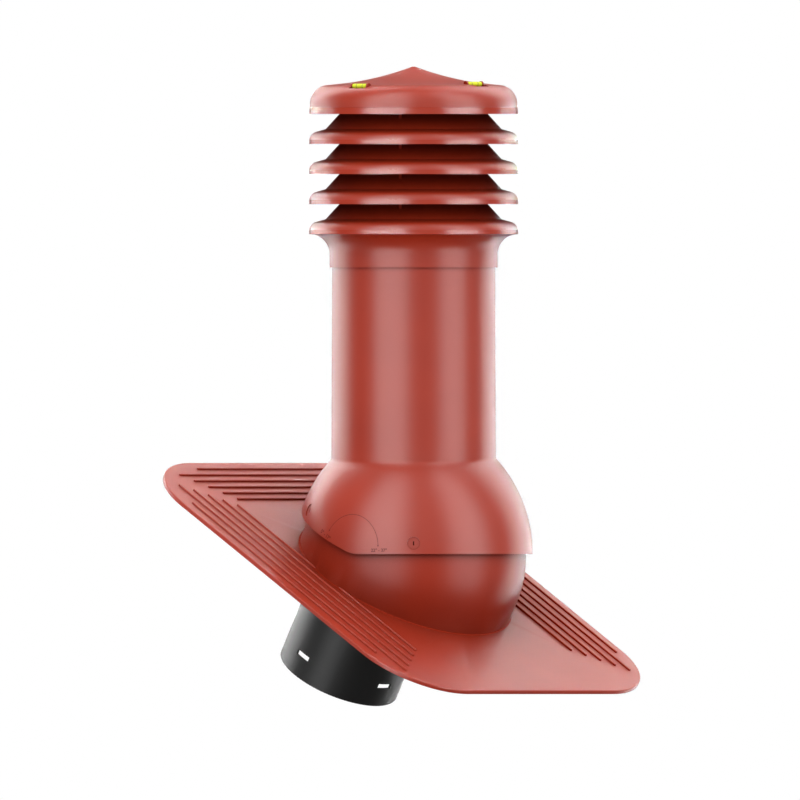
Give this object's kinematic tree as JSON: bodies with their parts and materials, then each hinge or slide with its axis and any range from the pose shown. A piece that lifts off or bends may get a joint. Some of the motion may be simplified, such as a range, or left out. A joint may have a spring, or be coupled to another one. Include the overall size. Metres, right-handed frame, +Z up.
{
  "type": "roof ventilation chimney",
  "caption": "Moulded roof vent: a flashing plate with a ball turret, a tilting insulated hood on it, a louvred rain cap with spirit levels, and a duct spigot below.",
  "frame": {"origin": "where the chimney's vertical axis meets the roof under the flashing's rim", "axes": "+Z up along the plumb chimney, +X down the slope of a 30 degree roof, +Y along the ridge"},
  "size_m": [0.3986, 0.367, 0.6427],
  "materials": {
    "terracotta_plastic": "satin",
    "black_plastic": "satin",
    "zinc_steel": "satin",
    "grey_plastic": "satin",
    "foam": "matte",
    "vial": "gloss"
  },
  "bodies": {
    "roof_flashing": {"flashing_base": "terracotta_plastic", "duct_spigot": "black_plastic", "flange_screws": "zinc_steel"},
    "hood": {"hood_shell": "terracotta_plastic", "duct_liner": "grey_plastic", "insulation_sleeve": "foam", "cap_collar": "terracotta_plastic", "louvre_ring_lower": "terracotta_plastic", "louvre_ring_middle": "terracotta_plastic", "louvre_ring_upper": "terracotta_plastic", "cap_cover": "terracotta_plastic", "level_vial_side": "vial", "level_vial_front": "vial"}
  },
  "joints": [
    {"name": "hood_tilt", "type": "hinge", "parent": "roof_flashing", "child": "hood", "pos_m": [0, 0, 0.0326], "axis": [0, 1, 0], "range_deg": [-7, 8]}
  ]
}
